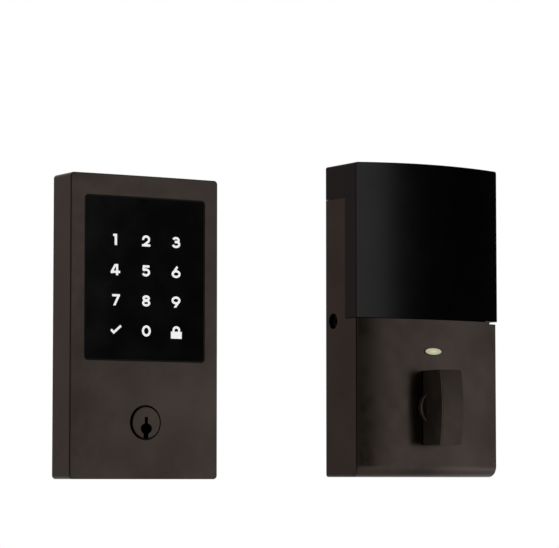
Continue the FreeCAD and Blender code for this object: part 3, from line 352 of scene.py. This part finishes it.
def coil_points(radius, wire, turns, height, steps=40, sides=10):
    """Tube round a helix: its centre runs at (R cos a, R sin a, H s) with a = 2 pi N s, and the
    wall is w (outward cos b + upward sin b) from it. Both ends lie flat, as ground ends do."""
    s = np.linspace(0.0, 1.0, int(steps * turns))[:, None]
    b = np.linspace(0.0, 2.0 * np.pi, sides, endpoint=False)[None, :]
    turn = 2.0 * np.pi * turns * s
    rise = wire + (height - 2.0 * wire) * np.clip((s * turns - 0.8) / (turns - 1.6), 0.0, 1.0)
    reach = radius + wire * np.cos(b)
    x = reach * np.cos(turn)
    y = reach * np.sin(turn)
    z = rise + wire * np.sin(b)
    return np.stack(np.broadcast_arrays(x, y, z), axis=-1)


def turned_points(profile, sides=48):
    """Solid of revolution about Z: each profile point (r, z) is carried to (r cos a, r sin a, z)."""
    r, z = np.array(profile, float).T[:, :, None]
    a = np.linspace(0.0, 2.0 * np.pi, sides, endpoint=False)[None, :]
    return np.stack(np.broadcast_arrays(r * np.cos(a), r * np.sin(a), z), axis=-1)


def finish_piece(piece, body, slot, *stands_for):
    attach(piece, body)
    if stands_for:
        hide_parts(*stands_for)
    return piece


# ---- battery cells and springs -----------------------------------------------------
CELL_R = 0.00715
CELL_PITCH = 0.0152
CELL_L = 0.0505
CELL_NUB = 0.0012
CONTACT_T = 0.0004
HOLDER_WALL = 0.0016
SPRING_R = 0.0032
SPRING_WIRE = 0.00045
SPRING_TURNS = 6.5
PIN_COUNT = 5
PIN_SPRING_R = 0.00098
PIN_SPRING_WIRE = 0.00016
PIN_SPRING_TURNS = 7.5
PIN_SPRING_END = 0.00125      # from the row's end to the axis of its first spring


def cell_profile():
    """Radius and height up a standing cell, from its flat end to its nub, with the band of each."""
    r, top, shoulder = CELL_R, CELL_L, CELL_L - CELL_NUB
    return [
        (0.0, 0.0, 0.0), (0.0044, 0.0, 0.0), (0.0046, 0.00025, 0.0), (0.0056, 0.00025, 0.0),
        (0.0060, 0.0, 0.0), (r - 0.0005, 0.0, 0.4), (r - 0.0001, 0.0002, 0.4), (r, 0.0006, 0.4),
        (r, 0.034, 0.4), (r, 0.0341, 1.0), (r, shoulder - 0.0008, 1.0),
        (r - 0.0001, shoulder - 0.0003, 1.0),
        (r - 0.0006, shoulder, 1.0), (0.0052, shoulder, 1.0), (0.0050, shoulder - 0.0002, 0.0),
        (0.0030, shoulder - 0.0002, 0.0), (0.0027, shoulder + 0.0001, 0.0), (0.0027, top - 0.0003, 0.0),
        (0.0024, top, 0.0), (0.0, top, 0.0),
    ]


def battery_set(sleeve, steel):
    low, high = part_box("battery_cells")
    holder_low, holder_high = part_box("battery_holder")
    floor = holder_low.z + HOLDER_WALL + CONTACT_T
    roof = holder_high.z - HOLDER_WALL - CONTACT_T
    middle_y = (low.y + high.y) / 2
    free = roof - floor - CELL_L
    profile = cell_profile()
    points = turned_points([(r, z) for r, z, _ in profile])
    band = np.repeat(np.array([b for _, _, b in profile], np.float32), points.shape[1])
    flip = np.array([1.0, -1.0, -1.0])
    for i in range(4):
        x = low.x + CELL_R + CELL_PITCH * i
        upward = i % 2 == 0
        cell = points if upward else points * flip
        base = roof - CELL_L if upward else floor + CELL_L
        piece = ring_mesh(f"cell_{i + 1}", cell + np.array([x, middle_y, base]), sleeve)
        piece.data.attributes.new("band", "FLOAT", "POINT").data.foreach_set("value", band)
        finish_piece(piece, "base", "cell_wrap", "battery_cells")
        start = floor if upward else roof - free
        wire = coil_points(SPRING_R, SPRING_WIRE, SPRING_TURNS, free) + np.array([x, middle_y, start])
        spring = ring_mesh(f"cell_spring_{i + 1}", wire, steel, caps=True)
        finish_piece(spring, "base", "steel", "cell_springs")


def cylinder_springs(steel):
    """The five wire springs over the driver pins."""
    low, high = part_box("pin_springs")
    pitch = (high.y - low.y - 2 * PIN_SPRING_END) / (PIN_COUNT - 1)
    size = (PIN_SPRING_R, PIN_SPRING_WIRE, PIN_SPRING_TURNS, high.z - low.z)
    for i in range(PIN_COUNT):
        at = np.array([(low.x + high.x) / 2, low.y + PIN_SPRING_END + pitch * i, low.z])
        wire = coil_points(*size, steps=24, sides=8) + at
        spring = ring_mesh(f"pin_spring_{i + 1}", wire, steel, caps=True)
        finish_piece(spring, "base", "steel", "pin_springs")


# ---- finishes on the frame's own nodes ----------------------------------------------
def dress():
    bronze = rubbed_bronze("rubbed_bronze", 0.19, 0.27)
    worn_bronze = rubbed_bronze("worn_bronze", 0.44, 0.52)
    black = gloss_black()
    steel = plated_steel()
    brass = turned("turned_brass", (0.48, 0.33, 0.12), (0.60, 0.44, 0.18))
    white = moulded("white_plastic", (0.62, 0.62, 0.60), (0.72, 0.72, 0.70))
    grey = moulded("grey_plastic", (0.075, 0.078, 0.082), (0.10, 0.104, 0.108))
    dark = moulded("dark_plastic", (0.006, 0.006, 0.0065), (0.011, 0.011, 0.012))
    chip = moulded("chip_epoxy", (0.008, 0.008, 0.009), (0.014, 0.014, 0.015), 2600.0, 0.5, 0.62)
    acetal_white = acetal()
    green = solder_mask()
    lens_low, lens_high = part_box("status_lens")
    lens_at = ((lens_low.x + lens_high.x) / 2, 0.0, (lens_low.z + lens_high.z) / 2)
    finishes = {
        bronze: ["escutcheon", "key_plug", "housing"],
        worn_bronze: ["turn_piece"],
        black: ["battery_cover"],
        backed_glass(): ["touch_glass"],
        legend_paint_and_glow(): ["key_legends"],
        black_rubber(): ["glass_gasket", "door_gasket"],
        dark: ["ext_cable_socket", "battery_holder", "status_bezel", "turn_bushing"],
        chip: ["touch_controller", "beeper", "switch_bodies"],
        white: ["light_diffuser", "board_headers"],
        grey: ["board_spacers", "program_button_a", "program_button_b", "gearbox_base", "gearbox_cover"],
        acetal_white: ["compound_wheel_1", "compound_wheel_2"],
        green: ["touch_board", "main_board"],
        phosphor(): ["backlight_leds", "status_led"],
        status_painted_glow(lens_at): ["status_lens"],
        cast_zinc(): ["spindle_hub"],
        blackened("dark_brass", (0.010, 0.008, 0.006), (0.030, 0.023, 0.016)): ["cylinder_shell"],
        blackened("black_oxide", (0.008, 0.008, 0.008), (0.020, 0.019, 0.018)): ["side_screws"],
        brass: ["pin_chamber_cover", "key_pins", "driver_pins", "blade_adapter", "motor_pinion"],
        steel: [
            "touch_board_screws", "ext_back_plate", "plate_screws", "mounting_posts", "pin_springs",
            "plug_clip", "torque_blade", "mounting_plate", "cell_contacts", "cell_springs",
            "board_screws", "radio_module", "gearbox_screws", "gear_axles", "motor", "motor_shaft",
            "hub_screw", "battery_cells",
        ],
    }
    for material, names in finishes.items():
        for name in names:
            mesh = NODES[name].data
            mesh.materials.clear()
            mesh.materials.append(material)
    bare = set(NODES) - {name for names in finishes.values() for name in names}
    if bare:
        raise SystemExit(f"no finish for {sorted(bare)}")
    battery_set(cell_sleeve(), steel)
    cylinder_springs(steel)


# ---- studio ------------------------------------------------------------------------
SURROUND = [
    (-180, (0.50, 0.48, 0.47)),
    (-150, (0.44, 0.36, 0.335)),
    (-105, (0.34, 0.31, 0.30)),
    (-84, (0.02, 0.02, 0.02)),
    (-50, (0.0, 0.0, 0.0)),
    (-31, (1.0, 1.0, 0.95)),
    (-12, (0.0, 0.0, 0.0)),
    (40, (0.0, 0.0, 0.0)),
    (62, (0.0, 0.0, 0.0)),
    (85, (0.25, 0.24, 0.24)),
    (105, (0.75, 0.74, 0.73)),
    (150, (0.75, 0.74, 0.73)),
    (180, (0.50, 0.48, 0.47)),
]
SKY = (0.95, 0.95, 0.95)
SKY_FROM, SKY_FULL = 0.62, 0.92       # sines of the heights between which it turns to sky
SOFTBOXES = [
    # name, heading and rise in degrees, distance, width, height, brightness, and the nodes that
    # the light is limited to or kept off
    ("key_softbox", 40.5, 2.0, 1.6, 1.62, 1.6, 1.08, "EXCLUDE", ["battery_cover", "touch_glass"]),
    ("gloss_softbox", -1.0, 3.0, 1.6, 1.12, 1.3, 2.35, "INCLUDE", ["battery_cover"]),
    ("glass_softbox", -3.0, 24.0, 1.6, 1.0, 1.0, 2.6, "INCLUDE", ["touch_glass"]),
    ("turn_fill", -92.0, 5.0, 1.0, 0.6, 0.9, 5.0, "INCLUDE", ["turn_piece"]),
]
FLOOR_SOFTBOX = ("floor_softbox", 62.0, 6.0, 0.95, 0.5, 0.5, 6.5)


def studio_world():
    """White backdrop, and a soft surround whose light depends on the heading from the front.

    The heading is atan2(x, -y) of the direction, carried from -pi..pi to 0..1 for the ramp. Well
    above the object the surround gives way to an even pale sky.
    """
    world = bpy.data.worlds.new("studio")
    world.use_nodes = True
    tree = world.node_tree
    tree.nodes.clear()
    out = tree.nodes.new("ShaderNodeOutputWorld")
    backdrop = tree.nodes.new("ShaderNodeBackground")
    surround = tree.nodes.new("ShaderNodeBackground")
    pick = tree.nodes.new("ShaderNodeMixShader")
    seen = tree.nodes.new("ShaderNodeLightPath")
    direction = tree.nodes.new("ShaderNodeTexCoord")
    split = tree.nodes.new("ShaderNodeSeparateXYZ")
    forward = tree.nodes.new("ShaderNodeMath")
    heading = tree.nodes.new("ShaderNodeMath")
    share = tree.nodes.new("ShaderNodeMath")
    tones = tree.nodes.new("ShaderNodeValToRGB")
    height = tree.nodes.new("ShaderNodeMapRange")
    merge = tree.nodes.new("ShaderNodeMix")
    height.interpolation_type = "SMOOTHSTEP"
    height.inputs["From Min"].default_value = SKY_FROM
    height.inputs["From Max"].default_value = SKY_FULL
    merge.data_type = "RGBA"
    low_tone, sky_tone = [socket for socket in merge.inputs if socket.type == "RGBA"]
    merged = next(socket for socket in merge.outputs if socket.type == "RGBA")
    sky_tone.default_value = (*SKY, 1.0)
    forward.operation = "MULTIPLY"
    forward.inputs[1].default_value = -1.0
    heading.operation = "ARCTAN2"
    share.operation = "MULTIPLY_ADD"
    share.inputs[1].default_value = 0.5 / math.pi
    share.inputs[2].default_value = 0.5
    while len(tones.color_ramp.elements) < len(SURROUND):
        tones.color_ramp.elements.new(0.5)
    for element, (degrees, colour) in zip(tones.color_ramp.elements, SURROUND):
        element.position = degrees / 360.0 + 0.5
        element.color = (*colour, 1.0)
    tree.links.new(direction.outputs["Generated"], split.inputs[0])
    tree.links.new(split.outputs["Y"], forward.inputs[0])
    tree.links.new(split.outputs["X"], heading.inputs[0])
    tree.links.new(forward.outputs[0], heading.inputs[1])
    tree.links.new(heading.outputs[0], share.inputs[0])
    tree.links.new(share.outputs[0], tones.inputs["Fac"])
    tree.links.new(split.outputs["Z"], height.inputs["Value"])
    tree.links.new(height.outputs["Result"], merge.inputs["Factor"])
    tree.links.new(tones.outputs["Color"], low_tone)
    tree.links.new(merged, surround.inputs["Color"])
    tree.links.new(seen.outputs["Is Camera Ray"], pick.inputs[0])
    tree.links.new(surround.outputs[0], pick.inputs[1])
    tree.links.new(backdrop.outputs[0], pick.inputs[2])
    tree.links.new(pick.outputs[0], out.inputs["Surface"])
    backdrop.inputs["Color"].default_value = (1.0, 1.0, 1.0, 1.0)
    bpy.context.scene.world = world


def softbox(name, heading, rise, distance, width, height, radiance):
    """Area light on a circle round the object, turned to face it, of the given brightness."""
    centre = (cad_box[0] + cad_box[1]) / 2
    a, e = math.radians(heading), math.radians(rise)
    data = bpy.data.lights.new(name, "AREA")
    data.shape = "RECTANGLE"
    data.size = width
    data.size_y = height
    data.energy = radiance * math.pi * width * height
    lamp = bpy.data.objects.new(name, data)
    bpy.context.scene.collection.objects.link(lamp)
    away = Vector((math.sin(a) * math.cos(e), -math.cos(a) * math.cos(e), math.sin(e)))
    lamp.location = centre + away * distance
    lamp.rotation_euler = away.to_track_quat("Z", "Y").to_euler()
    lamp.visible_camera = False
    return lamp


def aim_at(lamp, names, state):
    """Limit a light to these nodes, or keep it off them."""
    group = bpy.data.collections.new(lamp.name + "_reach")
    for name in names:
        group.objects.link(bpy.data.objects[name])
    lamp.light_linking.receiver_collection = group
    for entry in group.collection_objects:
        entry.light_linking.link_state = state


def studio():
    for *place, state, names in SOFTBOXES:
        aim_at(softbox(*place), [NODES[name].name for name in names], state)
    floor_z = cad_box[0].z - FLOOR_DROP
    half = FLOOR_SIDE / 2
    outline = [(-half, -half), (half, -half), (half, half), (-half, half)]
    corners = np.array([(x, y, floor_z) for x, y in outline])
    pale = Finish("pale_floor")
    pale.colour(pale.ramp(pale.noise(3.0), [(0.3, (0.78, 0.78, 0.78)), (0.7, (0.82, 0.82, 0.82))]))
    floor = faces_mesh("floor", corners, [[0, 1, 2, 3]], pale.material)
    pool = softbox(*FLOOR_SOFTBOX)
    pool.rotation_euler = (0.0, 0.0, 0.0)      # straight down
    aim_at(pool, ["floor"], "INCLUDE")


def camera():
    data = bpy.data.cameras.new("camera")
    data.sensor_width = SENSOR_MM
    data.lens = LENS_MM
    data.clip_start = CLIP_NEAR
    data.clip_end = CLIP_FAR
    made = bpy.data.objects.new("camera", data)
    made.location = CAMERA_AT
    made.rotation_euler = (math.pi / 2 + CAMERA_TILT, 0.0, -CAMERA_TURN)
    bpy.context.scene.collection.objects.link(made)
    bpy.context.scene.camera = made


dress()
studio_world()
studio()
camera()
bpy.context.scene.view_settings.view_transform = "Standard"
